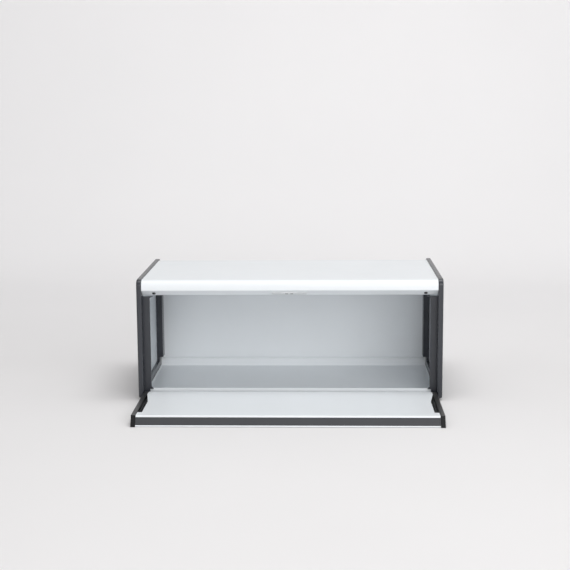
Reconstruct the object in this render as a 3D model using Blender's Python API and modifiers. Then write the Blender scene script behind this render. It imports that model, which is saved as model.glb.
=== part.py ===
"""Fall-front bread box, modelled with its door lying open.

The frame is +X to the right, +Y to the back and +Z up, in metres. The box stands on
the plane z = 0, and the origin is the middle of the footprint of box and open door.
"""
import math

import bmesh
import bpy
from mathutils import Matrix

# Overall sizes of the box
BOX_WIDTH = 0.465
BOX_DEPTH = 0.245
BOX_HEIGHT = 0.1875
FOOT_HEIGHT = 0.003

# Gaps shared by all the pieces
FIT_GAP = 0.0003
CUT_OVERRUN = 0.002
MERGE_DISTANCE = 0.00001

# Side panels
PANEL_THICKNESS = 0.0075
PANEL_WEB = 0.0017
PANEL_FRONT_RADIUS = 0.0095
PANEL_REAR_RADIUS = 0.013
PANEL_LOW_RADIUS = 0.006
PANEL_EDGE_ROUND = 0.0014
FLANGE_SETBACK = 0.016
FLANGE_THICKNESS = 0.003
FLANGE_WIDTH = 0.0107
FLANGE_ARM_LENGTH = 0.0046
FLANGE_ARM_HEIGHT = 0.0009
FLANGE_ARM_RADIUS = 0.0036
FLANGE_HOOK_LENGTH = 0.0028
FLANGE_HOOK_RISE = 0.003
FLANGE_HOOK_TIP = 0.0007
FLANGE_HOOK_OVERLAP = 0.0007
FLANGE_FOOT_SETBACK = 0.0023
POST_WIDTH = 0.0055
POST_DEPTH = 0.021
POST_LOW_GAP = 0.005
POCKET_FRONT_WALL = 0.004
POCKET_LOW_WALL = 0.0135
POCKET_TOP_WALL = 0.011
POCKET_RADIUS = 0.006

# Sheet metal
SHEET = 0.0008
CASING_TOP_DROP = 0.001
CASING_REAR_INSET = 0.017
CASING_REAR_RADIUS = 0.008
CASING_FRONT_STEP = 0.0008
CASING_LOW_GAP = 0.0006
LIP_BEND_RADIUS = 0.0012
LIP_DROP = 0.0165
STRIP_DEPTH = 0.016
STRIP_DROP = 0.0095

# Side liners
LINER_THICKNESS = 0.0008

# Floor pan
PAN_FLOOR_HEIGHT = 0.0044
PAN_FRONT_LIP = 0.0106
PAN_REAR_FLANGE = 0.0139
PAN_SIDE_HEM = 0.0024
PAN_BEND_RADIUS = 0.0022
PAN_REAR_LEAN_DEPTH = 0.0024
PAN_REAR_LEAN_HEIGHT = 0.0024
PAN_REAR_LEAN_RADIUS = 0.0012

# Feet
FOOT_RADIUS = 0.008
FOOT_TAPER = 0.0008
FOOT_INSET_X = 0.028
FOOT_INSET_Y = 0.034

# Door
DOOR_SIDE_GAP = 0.0021
DOOR_THICKNESS = 0.015
DOOR_FRONT_STEP = 0.0005
DOOR_LIP_GAP = 0.0025
DOOR_CAP_WIDTH = 0.0066
DOOR_NOSE_LENGTH = 0.035
DOOR_NOSE_DROP = 0.0065
SKIN_BEND_RADIUS = 0.0012
INNER_BEND_RADIUS = 0.001
SKIN_LIP = 0.0024
PANEL_END_FOLD = 0.0024
PANEL_END_BAND = 0.017
CHANNEL_WIDTH = 0.007
CHANNEL_START = 0.028
CHANNEL_FULL = 0.073
CHANNEL_TUCK = 0.002
CHANNEL_DEPTH = 0.0045
CHANNEL_FLOOR = 0.002
RIB_THICKNESS = 0.0009
RIB_OFFSET = 0.003
RIB_DROP = 0.0015
GRIP_DEPTH = 0.008

# Hinge
HINGE_HEIGHT = 0.007
PIN_RADIUS = 0.00175
PIN_ENGAGEMENT = 0.0055
PIN_SEAT = 0.005
RUNNING_GAP = 0.00008
BUSH_WALL = 0.0011
BUSH_FLANGE_RADIUS = 0.0046
BUSH_FLANGE = 0.0014
BUSH_LENGTH = 0.003

# Catch and bumpers
CATCH_LENGTH = 0.053
CATCH_WIDTH = 0.0085
CATCH_BASE = 0.001
CATCH_PAD_LENGTH = 0.025
CATCH_PAD_WIDTH = 0.0062
CATCH_PAD_HEIGHT = 0.0006
MAGNET_LENGTH = 0.0042
MAGNET_WIDTH = 0.0024
MAGNET_DEPTH = 0.0008
MAGNET_GAP = 0.0002
MAGNET_SPACING = 0.008
MAGNET_PROUD = 0.0001
BUMPER_RADIUS = 0.0026
BUMPER_HEIGHT = 0.0016
BUMPER_ROUND = 0.0005
BUMPER_INSET = 0.026

# Screws
SCREW_HEAD_RADIUS = 0.0026
SCREW_HEAD_HEIGHT = 0.0015
SCREW_HEAD_ROUND = 0.0006
SCREW_SHANK_RADIUS = 0.0013
SCREW_SHANK_LENGTH = 0.012
SCREW_TIP = 0.0012
SCREW_CROSS_WIDTH = 0.0007
SCREW_CROSS_LENGTH = 0.003
SCREW_CROSS_DEPTH = 0.0008
BACK_SCREW_EDGE = 0.003
BACK_SCREW_LOW = 0.04
BACK_SCREW_HIGH = 0.04

# Smoothness of round stretches
ARC_STEPS = 6
ROUND_SEGMENTS = 2
CIRCLE_SEGMENTS = 24
SMOOTH_ANGLE = math.radians(35)
FLAT_ANGLE = math.radians(1)
RIGHT_ANGLE = math.radians(90)
FULL_TURN = math.radians(360)
SIDES = (("left", -1), ("right", 1))

# Places worked out from the sizes above
HALF_WIDTH = BOX_WIDTH / 2
INNER_HALF = HALF_WIDTH - PANEL_THICKNESS
FLANGE_INNER = INNER_HALF - FLANGE_WIDTH
POST_INNER = INNER_HALF - POST_WIDTH
CASING_HALF = INNER_HALF - FIT_GAP
CASING_TOP = BOX_HEIGHT - CASING_TOP_DROP
LIP_BOTTOM = BOX_HEIGHT - LIP_DROP
STRIP_ANGLE = math.atan2(STRIP_DROP, STRIP_DEPTH)
DOOR_HALF = INNER_HALF - DOOR_SIDE_GAP
CAP_INNER = DOOR_HALF - DOOR_CAP_WIDTH
HINGE_FACE_DROP = HINGE_HEIGHT - DOOR_FRONT_STEP
DOOR_TOP = DOOR_THICKNESS - HINGE_FACE_DROP
DOOR_LENGTH = LIP_BOTTOM - DOOR_LIP_GAP - HINGE_HEIGHT
DOOR_LEAN = DOOR_THICKNESS * math.tan(STRIP_ANGLE)
DOOR_REACH = DOOR_LENGTH - HINGE_HEIGHT
FRONT_Y = (DOOR_REACH - BOX_DEPTH) / 2
REAR_Y = FRONT_Y + BOX_DEPTH
HINGE_Y = FRONT_Y + HINGE_HEIGHT
FLANGE_Y = FRONT_Y + FLANGE_SETBACK
CASING_FRONT_Y = FRONT_Y + CASING_FRONT_STEP
CASING_REAR_Y = REAR_Y - CASING_REAR_INSET
POST_REAR_Y = CASING_REAR_Y - SHEET - FIT_GAP
POST_FRONT_Y = POST_REAR_Y - POST_DEPTH
PAN_HALF = CASING_HALF
PAN_FRONT_Y = FLANGE_Y + FLANGE_THICKNESS + FIT_GAP
PAN_REAR_Y = POST_REAR_Y
PAN_REAR_TOP = PAN_FLOOR_HEIGHT + PAN_REAR_FLANGE
FOOT_TOP = PAN_FLOOR_HEIGHT - SHEET - FIT_GAP
POCKET_HIGH_X = HALF_WIDTH - PANEL_WEB
CHANNEL_HALF = CAP_INNER - CHANNEL_WIDTH
CHANNEL_END = DOOR_LENGTH - DOOR_LEAN - PANEL_END_BAND
BUSH_RADIUS = PIN_RADIUS + RUNNING_GAP + BUSH_WALL


def clear_scene():
    """Remove whatever objects the open file holds."""
    for found in list(bpy.data.objects):
        bpy.data.objects.remove(found, do_unlink=True)


def new_collection(name):
    """Make a collection under the scene's own."""
    made = bpy.data.collections.new(name)
    bpy.context.scene.collection.children.link(made)
    return made


def new_material(name, colour, roughness, metallic):
    """Make a plain Principled material."""
    made = bpy.data.materials.new(name)
    made.use_nodes = True
    shader = made.node_tree.nodes["Principled BSDF"]
    shader.inputs["Base Color"].default_value = (*colour, 1)
    shader.inputs["Roughness"].default_value = roughness
    shader.inputs["Metallic"].default_value = metallic
    made.diffuse_color = (*colour, 1)
    return made


def new_object(name, mesh, collection, material=None):
    """Wrap a mesh as an object with smooth shading across gentle angles."""
    made = bpy.data.objects.new(name, mesh)
    collection.objects.link(made)
    if material:
        mesh.materials.clear()
        mesh.materials.append(material)
    mesh.shade_smooth()
    mesh.set_sharp_from_angle(angle=SMOOTH_ANGLE)
    return made


def rounded(corners, steps=ARC_STEPS):
    """Replace each corner (a, b, radius) of an outline by an arc of that radius."""
    points = []
    count = len(corners)
    for index, (a, b, radius) in enumerate(corners):
        if radius == 0:
            points.append((a, b))
            continue
        before = corners[index - 1]
        after = corners[(index + 1) % count]
        angle_in = math.atan2(before[1] - b, before[0] - a)
        angle_out = math.atan2(after[1] - b, after[0] - a)
        turn = (angle_out - angle_in + math.pi) % FULL_TURN - math.pi
        middle = angle_in + turn / 2
        reach = radius / math.sin(abs(turn) / 2)
        centre = (a + reach * math.cos(middle), b + reach * math.sin(middle))
        sweep = math.copysign(math.pi - abs(turn), -turn)
        start = angle_in - math.copysign(RIGHT_ANGLE, turn)
        for step in range(steps + 1):
            angle = start + sweep * step / steps
            points.append((centre[0] + radius * math.cos(angle), centre[1] + radius * math.sin(angle)))
    return points


def outline_mesh(name, points, thickness):
    """Fill a flat outline as a 2D curve and give it a thickness, centred on its plane."""
    curve = bpy.data.curves.new(name + "_outline", "CURVE")
    curve.dimensions = "2D"
    curve.fill_mode = "BOTH"
    curve.extrude = thickness / 2
    spline = curve.splines.new("POLY")
    spline.points.add(len(points) - 1)
    for point, (a, b) in zip(spline.points, points):
        point.co = (a, b, 0, 1)
    spline.use_cyclic_u = True
    guide = bpy.data.objects.new(name + "_guide", curve)
    bpy.context.scene.collection.objects.link(guide)
    evaluated = guide.evaluated_get(bpy.context.evaluated_depsgraph_get())
    mesh = bpy.data.meshes.new_from_object(evaluated)
    bpy.data.objects.remove(guide)
    bpy.data.curves.remove(curve)
    mesh.name = name
    form = bmesh.new()
    form.from_mesh(mesh)
    bmesh.ops.remove_doubles(form, verts=form.verts, dist=MERGE_DISTANCE)
    bmesh.ops.dissolve_limit(form, angle_limit=FLAT_ANGLE, verts=form.verts, edges=form.edges)
    bmesh.ops.recalc_face_normals(form, faces=form.faces)
    form.to_mesh(mesh)
    form.free()
    return mesh


def side_plate_mesh(name, points, x_low, x_high):
    """Solid whose outline lies in the YZ plane, between two places along X."""
    mesh = outline_mesh(name, points, x_high - x_low)
    upright = Matrix(((0, 0, 1, (x_low + x_high) / 2), (1, 0, 0, 0), (0, 1, 0, 0), (0, 0, 0, 1)))
    mesh.transform(upright)
    return mesh


def front_plate_mesh(name, points, y_low, y_high):
    """Solid whose outline lies in the XZ plane, between two places along Y."""
    mesh = outline_mesh(name, points, y_high - y_low)
    upright = Matrix(((1, 0, 0, 0), (0, 0, -1, (y_low + y_high) / 2), (0, 1, 0, 0), (0, 0, 0, 1)))
    mesh.transform(upright)
    return mesh


def flat_plate_mesh(name, points, z_low, z_high):
    """Solid whose outline lies in the XY plane, between two heights."""
    mesh = outline_mesh(name, points, z_high - z_low)
    mesh.transform(Matrix.Translation((0, 0, (z_low + z_high) / 2)))
    return mesh


def box_mesh(name, low, high):
    """Box between two corners."""
    form = bmesh.new()
    size = [high[axis] - low[axis] for axis in range(3)]
    middle = [(high[axis] + low[axis]) / 2 for axis in range(3)]
    place = Matrix.Translation(middle) @ Matrix.Diagonal((*size, 1))
    bmesh.ops.create_cube(form, size=1, matrix=place)
    mesh = bpy.data.meshes.new(name)
    form.to_mesh(mesh)
    form.free()
    return mesh


def rod_mesh(name, radius, start, length, axis_matrix):
    """Round bar whose own axis Z is turned by axis_matrix, from start along its axis."""
    form = bmesh.new()
    place = Matrix.Translation(start) @ axis_matrix @ Matrix.Translation((0, 0, length / 2))
    bmesh.ops.create_cone(form, cap_ends=True, segments=CIRCLE_SEGMENTS, radius1=radius, radius2=radius,
                          depth=length, matrix=place)
    mesh = bpy.data.meshes.new(name)
    form.to_mesh(mesh)
    form.free()
    return mesh


def turned_object(name, profile, collection, material):
    """Turn a profile of (radius, height), listed down its outer side, about Z."""
    form = bmesh.new()
    corners = [form.verts.new((radius, 0, height)) for radius, height in profile]
    for first, second in zip(corners, corners[1:]):
        form.edges.new((first, second))
    mesh = bpy.data.meshes.new(name)
    form.to_mesh(mesh)
    form.free()
    made = new_object(name, mesh, collection, material)
    screw = made.modifiers.new("turn", "SCREW")
    screw.axis = "Z"
    screw.steps = CIRCLE_SEGMENTS
    screw.render_steps = CIRCLE_SEGMENTS
    screw.use_merge_vertices = True
    screw.merge_threshold = MERGE_DISTANCE
    screw.use_smooth_shade = True
    return made


def sheet_object(name, path, x_low, x_high, collection, material):
    """Bent sheet from the path of its outer face in YZ, drawn along X.

    The outer side is on the left of the path, and the sheet thickens to the right.
    """
    form = bmesh.new()
    corners = [form.verts.new((x_low, y, z)) for y, z in path]
    edges = [form.edges.new(pair) for pair in zip(corners, corners[1:])]
    drawn = bmesh.ops.extrude_edge_only(form, edges=edges)
    moved = [item for item in drawn["geom"] if isinstance(item, bmesh.types.BMVert)]
    bmesh.ops.translate(form, verts=moved, vec=(x_high - x_low, 0, 0))
    bmesh.ops.recalc_face_normals(form, faces=form.faces)
    form.normal_update()
    (y_first, z_first), (y_next, z_next) = path[0], path[1]
    facing = edges[0].link_faces[0].normal
    if facing.z * (y_next - y_first) - facing.y * (z_next - z_first) < 0:
        bmesh.ops.reverse_faces(form, faces=form.faces)
    mesh = bpy.data.meshes.new(name)
    form.to_mesh(mesh)
    form.free()
    made = new_object(name, mesh, collection, material)
    solid = made.modifiers.new("sheet", "SOLIDIFY")
    solid.thickness = SHEET
    solid.offset = -1
    solid.use_even_offset = True
    return made


def combine(target, other, operation):
    """Join another object to the target, or cut it away, with a Boolean modifier."""
    change = target.modifiers.new(operation.lower() + "_" + other.name, "BOOLEAN")
    change.operation = operation
    change.object = other
    change.solver = "EXACT"
    return change


def cutter_object(name, mesh):
    """Object that only shapes others: drawn as wire and left out of renders."""
    made = new_object(name, mesh, CUTTERS)
    made.display_type = "WIRE"
    made.hide_render = True
    return made


def bevel_object(target, width, segments=ROUND_SEGMENTS, angle=SMOOTH_ANGLE):
    """Round the sharp edges of an object."""
    bevel = target.modifiers.new("edge_round", "BEVEL")
    bevel.width = width
    bevel.segments = segments
    bevel.limit_method = "ANGLE"
    bevel.angle_limit = angle
    return bevel


def mirrored_object(source, name, collection):
    """Left-hand twin of a right-hand piece."""
    evaluated = source.evaluated_get(bpy.context.evaluated_depsgraph_get())
    mesh = bpy.data.meshes.new_from_object(evaluated)
    mesh.name = name
    mesh.transform(Matrix.Diagonal((-1, 1, 1, 1)))
    mesh.flip_normals()
    made = bpy.data.objects.new(name, mesh)
    collection.objects.link(made)
    made.location = source.location
    return made


def door_end_point(height, depth=0):
    """Point on the door's leaning free edge, in hinge axes, at a height above its face."""
    return (height * math.tan(STRIP_ANGLE) + depth - DOOR_LENGTH, height - HINGE_FACE_DROP)


def door_nose_points():
    """Quarter ellipse that takes the door's inner face down to the hinge."""
    reach = math.sqrt(HINGE_FACE_DROP ** 2 - (DOOR_TOP - DOOR_NOSE_DROP) ** 2)
    points = []
    for step in range(ARC_STEPS * 2 + 1):
        angle = RIGHT_ANGLE * step / (ARC_STEPS * 2)
        y = (DOOR_NOSE_LENGTH + reach) * math.sin(angle) - DOOR_NOSE_LENGTH
        z = DOOR_NOSE_DROP * math.cos(angle) + DOOR_TOP - DOOR_NOSE_DROP
        points.append((y, z))
    return points


def hinge_arc_points(start_angle):
    """Arc about the hinge axis, from an angle down to the door's outer face."""
    points = []
    for step in range(ARC_STEPS * 2 + 1):
        angle = start_angle - (start_angle + RIGHT_ANGLE) * step / (ARC_STEPS * 2)
        points.append((HINGE_FACE_DROP * math.cos(angle), HINGE_FACE_DROP * math.sin(angle)))
    return points


def pocket_outline(inset):
    """Rounded outline of a side panel's inner pocket, drawn in by an inset."""
    low_y = FLANGE_Y + FLANGE_THICKNESS + POCKET_FRONT_WALL + inset
    high_y = POST_FRONT_Y - inset
    low_z = FOOT_HEIGHT + POCKET_LOW_WALL + inset
    high_z = BOX_HEIGHT - POCKET_TOP_WALL - inset
    radius = POCKET_RADIUS - inset
    return rounded([(low_y, low_z, radius), (high_y, low_z, radius),
                    (high_y, high_z, radius), (low_y, high_z, radius)])


def flange_outline():
    """Door stop on a side panel: an upright strip, a small arm at its top, a hook over the pan's lip."""
    top = LIP_BOTTOM - STRIP_DROP - SHEET * 2 - FIT_GAP
    arm_low = top - FLANGE_ARM_HEIGHT
    hook_low = PAN_FLOOR_HEIGHT + PAN_FRONT_LIP - FLANGE_HOOK_OVERLAP
    hook_high = hook_low + FLANGE_HOOK_TIP
    hook_end = FLANGE_INNER - FLANGE_HOOK_LENGTH
    foot = FLANGE_INNER + FLANGE_FOOT_SETBACK
    root = INNER_HALF + CUT_OVERRUN
    return rounded([(root, FOOT_HEIGHT, 0), (root, top, 0), (FLANGE_INNER - FLANGE_ARM_LENGTH, top, 0),
                    (FLANGE_INNER - FLANGE_ARM_LENGTH, arm_low, 0),
                    (FLANGE_INNER, arm_low, FLANGE_ARM_RADIUS),
                    (FLANGE_INNER, hook_high + FLANGE_HOOK_RISE, 0),
                    (hook_end, hook_high, 0), (hook_end, hook_low, 0),
                    (foot, hook_low, 0), (foot, FOOT_HEIGHT, 0)])


def make_side_panel(material):
    """Right side panel: rim plate with an inner pocket, door flange, rear post and bores."""
    outline = rounded([(FRONT_Y, FOOT_HEIGHT, PANEL_LOW_RADIUS), (FRONT_Y, BOX_HEIGHT, PANEL_FRONT_RADIUS),
                       (REAR_Y, BOX_HEIGHT, PANEL_REAR_RADIUS), (REAR_Y, FOOT_HEIGHT, PANEL_LOW_RADIUS)])
    mesh = side_plate_mesh("side_panel_right", outline, INNER_HALF, HALF_WIDTH)
    panel = new_object("side_panel_right", mesh, PARTS, material)
    bevel_object(panel, PANEL_EDGE_ROUND)
    root = INNER_HALF + CUT_OVERRUN

    flange = front_plate_mesh("flange_form", flange_outline(), FLANGE_Y, FLANGE_Y + FLANGE_THICKNESS)
    combine(panel, cutter_object("flange_form", flange), "UNION")
    post_top = CASING_TOP - CASING_REAR_RADIUS - FIT_GAP
    post = box_mesh("post_form", (POST_INNER, POST_FRONT_Y, PAN_REAR_TOP + POST_LOW_GAP),
                    (root, POST_REAR_Y, post_top))
    combine(panel, cutter_object("post_form", post), "UNION")

    pocket = side_plate_mesh("pocket_cut", pocket_outline(0), INNER_HALF - CUT_OVERRUN, POCKET_HIGH_X)
    combine(panel, cutter_object("pocket_cut", pocket), "DIFFERENCE")

    along_x = Matrix.Rotation(RIGHT_ANGLE, 4, "Y")
    bush_seat = rod_mesh("bush_cut", BUSH_RADIUS + FIT_GAP, (INNER_HALF - CUT_OVERRUN, HINGE_Y, HINGE_HEIGHT),
                         BUSH_LENGTH + CUT_OVERRUN + FIT_GAP, along_x)
    combine(panel, cutter_object("bush_cut", bush_seat), "DIFFERENCE")
    pin_seat = rod_mesh("pin_cut", PIN_RADIUS + RUNNING_GAP, (INNER_HALF, HINGE_Y, HINGE_HEIGHT),
                        PIN_SEAT + FIT_GAP, along_x)
    combine(panel, cutter_object("pin_cut", pin_seat), "DIFFERENCE")
    along_y = Matrix.Rotation(-RIGHT_ANGLE, 4, "X")
    for index, height in enumerate(back_screw_heights()):
        start = (back_screw_x(), POST_REAR_Y - SCREW_SHANK_LENGTH, height)
        hole = rod_mesh("post_hole_cut", SCREW_SHANK_RADIUS + FIT_GAP, start,
                        SCREW_SHANK_LENGTH + CUT_OVERRUN, along_y)
        combine(panel, cutter_object(f"post_hole_cut_{index}", hole), "DIFFERENCE")
    return panel


def back_screw_heights():
    """Heights of the screws through the back."""
    return (FOOT_HEIGHT + BACK_SCREW_LOW, CASING_TOP - BACK_SCREW_HIGH)


def back_screw_x():
    """Distance of the back screws from the middle of the box."""
    return CASING_HALF - BACK_SCREW_EDGE


def make_liner(material):
    """Right side liner: a thin sheet in the pocket of the side panel."""
    high_x = POCKET_HIGH_X - FIT_GAP
    mesh = side_plate_mesh("side_liner_right", pocket_outline(FIT_GAP), high_x - LINER_THICKNESS, high_x)
    return new_object("side_liner_right", mesh, PARTS, material)


def make_casing(material):
    """One bent sheet: sloping catch strip, front lip, top and back."""
    low_z = FOOT_HEIGHT + CASING_LOW_GAP
    path = rounded([(CASING_FRONT_Y + STRIP_DEPTH, LIP_BOTTOM - STRIP_DROP, 0),
                    (CASING_FRONT_Y, LIP_BOTTOM, LIP_BEND_RADIUS),
                    (CASING_FRONT_Y, CASING_TOP, PANEL_FRONT_RADIUS),
                    (CASING_REAR_Y, CASING_TOP, CASING_REAR_RADIUS),
                    (CASING_REAR_Y, low_z, 0)])
    casing = sheet_object("casing_sheet", path, -CASING_HALF, CASING_HALF, PARTS, material)
    along_y = Matrix.Rotation(-RIGHT_ANGLE, 4, "X")
    for side, sign in SIDES:
        for index, height in enumerate(back_screw_heights()):
            start = (sign * back_screw_x(), CASING_REAR_Y - CUT_OVERRUN, height)
            hole = rod_mesh("casing_hole_cut", SCREW_SHANK_RADIUS + FIT_GAP, start, CUT_OVERRUN * 2, along_y)
            combine(casing, cutter_object(f"casing_hole_cut_{side}_{index}", hole), "DIFFERENCE")
    return casing


def make_floor_pan(material):
    """Tray with a front lip, low side hems and a taller rear flange whose top leans to the back."""
    underside = PAN_FLOOR_HEIGHT - SHEET
    flange_y = PAN_REAR_Y - PAN_REAR_LEAN_DEPTH
    path = rounded([(PAN_REAR_Y, PAN_REAR_TOP, 0),
                    (flange_y, PAN_REAR_TOP - PAN_REAR_LEAN_HEIGHT, PAN_REAR_LEAN_RADIUS),
                    (flange_y, underside, PAN_BEND_RADIUS),
                    (PAN_FRONT_Y, underside, PAN_BEND_RADIUS),
                    (PAN_FRONT_Y, PAN_FLOOR_HEIGHT + PAN_FRONT_LIP, 0)])
    pan = sheet_object("floor_pan", path, -PAN_HALF, PAN_HALF, PARTS, material)
    for side, sign in SIDES:
        inner = sign * (PAN_HALF - SHEET)
        outer = sign * PAN_HALF
        low = (min(inner, outer), PAN_FRONT_Y + PAN_BEND_RADIUS, underside)
        high = (max(inner, outer), flange_y - PAN_BEND_RADIUS, PAN_FLOOR_HEIGHT + PAN_SIDE_HEM)
        hem = cutter_object(f"pan_hem_form_{side}", box_mesh("pan_hem_form", low, high))
        combine(pan, hem, "UNION")
    return pan


def make_feet(material):
    """Four rubber feet under the floor pan."""
    profile = [(0, FOOT_TOP), (FOOT_RADIUS, FOOT_TOP), (FOOT_RADIUS, FOOT_TAPER),
               (FOOT_RADIUS - FOOT_TAPER, 0), (0, 0)]
    places = (("front", FRONT_Y + FOOT_INSET_Y), ("rear", CASING_REAR_Y - FOOT_INSET_Y))
    for row, y in places:
        for side, sign in SIDES:
            foot = turned_object(f"foot_{row}_{side}", profile, PARTS, material)
            foot.location = (sign * (HALF_WIDTH - FOOT_INSET_X), y, 0)


def make_hinge_pieces(steel, nylon):
    """Right hinge pin and the flanged bush that it runs in, about the axis X."""
    start = DOOR_HALF - PIN_ENGAGEMENT
    length = INNER_HALF + PIN_SEAT - start
    along_x = Matrix.Rotation(RIGHT_ANGLE, 4, "Y")
    pin_rod = rod_mesh("hinge_pin_right", PIN_RADIUS, (start, 0, 0), length, along_x)
    pin = new_object("hinge_pin_right", pin_rod, PARTS, steel)
    pin.location = (0, HINGE_Y, HINGE_HEIGHT)
    flange_start = INNER_HALF - FIT_GAP - BUSH_FLANGE
    bush_rod = rod_mesh("hinge_bush_right", BUSH_RADIUS, (flange_start, 0, 0),
                        BUSH_FLANGE + FIT_GAP + BUSH_LENGTH, along_x)
    bush = new_object("hinge_bush_right", bush_rod, PARTS, nylon)
    flange = rod_mesh("bush_flange_form", BUSH_FLANGE_RADIUS, (flange_start, 0, 0), BUSH_FLANGE, along_x)
    flange_form = cutter_object("bush_flange_form", flange)
    combine(bush, flange_form, "UNION")
    bore = rod_mesh("bush_bore_cut", PIN_RADIUS + RUNNING_GAP, (flange_start - CUT_OVERRUN, 0, 0),
                    BUSH_FLANGE + BUSH_LENGTH + CUT_OVERRUN * 2, along_x)
    bore_cut = cutter_object("bush_bore_cut", bore)
    combine(bush, bore_cut, "DIFFERENCE")
    for placed in (bush, flange_form, bore_cut):
        placed.location = pin.location
    return pin, bush


def strip_place():
    """Axes of the sloping strip's middle: X, up its slope to the front, and out of its face."""
    middle = Matrix.Translation((0, CASING_FRONT_Y + STRIP_DEPTH / 2, LIP_BOTTOM - STRIP_DROP / 2))
    return middle @ Matrix.Rotation(math.pi - STRIP_ANGLE, 4, "X")


def make_catch(white, steel):
    """Holder of the magnetic catch on the sloping strip, and its two magnets."""
    base_top = FIT_GAP + CATCH_BASE
    pad_top = base_top + CATCH_PAD_HEIGHT
    base = flat_plate_mesh("catch_holder", rounded_rectangle(CATCH_LENGTH, CATCH_WIDTH), FIT_GAP, base_top)
    holder = new_object("catch_holder", base, PARTS, white)
    pad = flat_plate_mesh("catch_pad_form", rounded_rectangle(CATCH_PAD_LENGTH, CATCH_PAD_WIDTH),
                          FIT_GAP * 2, pad_top)
    pad_form = cutter_object("catch_pad_form", pad)
    combine(holder, pad_form, "UNION")
    holder.matrix_world = strip_place()
    pad_form.matrix_world = strip_place()
    for side, sign in SIDES:
        place = strip_place() @ Matrix.Translation((sign * MAGNET_SPACING / 2, 0, 0))
        low_z = pad_top - MAGNET_DEPTH
        seat_x = MAGNET_LENGTH / 2 + MAGNET_GAP
        seat_y = MAGNET_WIDTH / 2 + MAGNET_GAP
        seat = box_mesh("magnet_cut", (-seat_x, -seat_y, low_z), (seat_x, seat_y, pad_top + CUT_OVERRUN))
        seat_cut = cutter_object(f"magnet_cut_{side}", seat)
        seat_cut.matrix_world = place
        combine(holder, seat_cut, "DIFFERENCE")
        block = box_mesh(f"catch_magnet_{side}", (-MAGNET_LENGTH / 2, -MAGNET_WIDTH / 2, low_z + MAGNET_GAP),
                         (MAGNET_LENGTH / 2, MAGNET_WIDTH / 2, pad_top + MAGNET_PROUD))
        magnet = new_object(f"catch_magnet_{side}", block, PARTS, steel)
        magnet.matrix_world = place


def rounded_rectangle(length, width):
    """Rectangle about the origin with its corners rounded to a quarter of its width."""
    radius = width / 4
    return rounded([(-length / 2, -width / 2, radius), (length / 2, -width / 2, radius),
                    (length / 2, width / 2, radius), (-length / 2, width / 2, radius)])


def make_lip_bumpers(material):
    """Two rubber bumpers on the sloping strip that the closing door meets."""
    top = FIT_GAP + BUMPER_HEIGHT
    profile = [(0, top), (BUMPER_RADIUS - BUMPER_ROUND, top), (BUMPER_RADIUS, top - BUMPER_ROUND),
               (BUMPER_RADIUS, FIT_GAP), (0, FIT_GAP)]
    for side, sign in SIDES:
        bumper = turned_object(f"lip_bumper_{side}", profile, PARTS, material)
        offset = Matrix.Translation((sign * (HALF_WIDTH - BUMPER_INSET), 0, 0))
        bumper.matrix_world = strip_place() @ offset


def make_screw(name, material):
    """Pan-head screw along Z: its head sits on the plane z = 0 and its shank runs down."""
    head_top = SCREW_HEAD_HEIGHT
    profile = [(0, head_top), (SCREW_HEAD_RADIUS - SCREW_HEAD_ROUND, head_top),
               (SCREW_HEAD_RADIUS, head_top - SCREW_HEAD_ROUND), (SCREW_HEAD_RADIUS, 0),
               (SCREW_SHANK_RADIUS, 0), (SCREW_SHANK_RADIUS, SCREW_TIP - SCREW_SHANK_LENGTH),
               (0, -SCREW_SHANK_LENGTH)]
    screw = turned_object(name, profile, PARTS, material)
    low_z = head_top - SCREW_CROSS_DEPTH
    arms = ((SCREW_CROSS_LENGTH, SCREW_CROSS_WIDTH), (SCREW_CROSS_WIDTH, SCREW_CROSS_LENGTH))
    for index, (length, width) in enumerate(arms):
        arm = box_mesh("cross_cut", (-length / 2, -width / 2, low_z),
                       (length / 2, width / 2, head_top + CUT_OVERRUN))
        arm_cut = cutter_object(f"{name}_cross_cut_{index}", arm)
        arm_cut.parent = screw
        combine(screw, arm_cut, "DIFFERENCE")
    return screw


def make_back_screws(material):
    """Screws through the back sheet into the rear posts."""
    names = ("low", "high")
    for side, sign in SIDES:
        for name, height in zip(names, back_screw_heights()):
            screw = make_screw(f"back_screw_{name}_{side}", material)
            screw.location = (sign * back_screw_x(), CASING_REAR_Y + FIT_GAP, height)
            screw.rotation_euler = (-RIGHT_ANGLE, 0, 0)


def make_door_skin(material):
    """Outer skin of the door: flat face, arc round the hinge and a lip at the free edge."""
    bend = rounded([(0, -HINGE_FACE_DROP, 0), (-DOOR_LENGTH, -HINGE_FACE_DROP, SKIN_BEND_RADIUS),
                    (*door_end_point(SKIN_LIP), 0)])
    path = hinge_arc_points(0) + bend[1:]
    skin_half = CAP_INNER - FIT_GAP
    return sheet_object("door_skin", path, -skin_half, skin_half, PARTS, material)


def make_door_inner_panel(material):
    """Inner panel of the door, drawn in at both sides where the end caps have channels."""
    half = CAP_INNER - FIT_GAP
    flat_end = door_nose_points()[0]
    bend = rounded([(*door_end_point(DOOR_THICKNESS - PANEL_END_FOLD), 0),
                    (*door_end_point(DOOR_THICKNESS), INNER_BEND_RADIUS), (*flat_end, 0)])
    path = bend[:-1] + door_nose_points()[:-1]
    panel = sheet_object("door_inner_panel", path, -half, half, PARTS, material)
    outside = half + CUT_OVERRUN
    low_z = -HINGE_FACE_DROP
    high_z = DOOR_TOP + CUT_OVERRUN
    for side, sign in SIDES:
        corners = [(sign * outside, -CHANNEL_END, 0), (sign * CHANNEL_HALF, -CHANNEL_END, 0),
                   (sign * CHANNEL_HALF, -CHANNEL_FULL, 0), (sign * half, -CHANNEL_START, 0),
                   (sign * outside, -CHANNEL_START, 0)]
        notch = flat_plate_mesh("channel_cut", rounded(corners), low_z, high_z)
        combine(panel, cutter_object(f"channel_cut_{side}", notch), "DIFFERENCE")
    return panel


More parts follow.
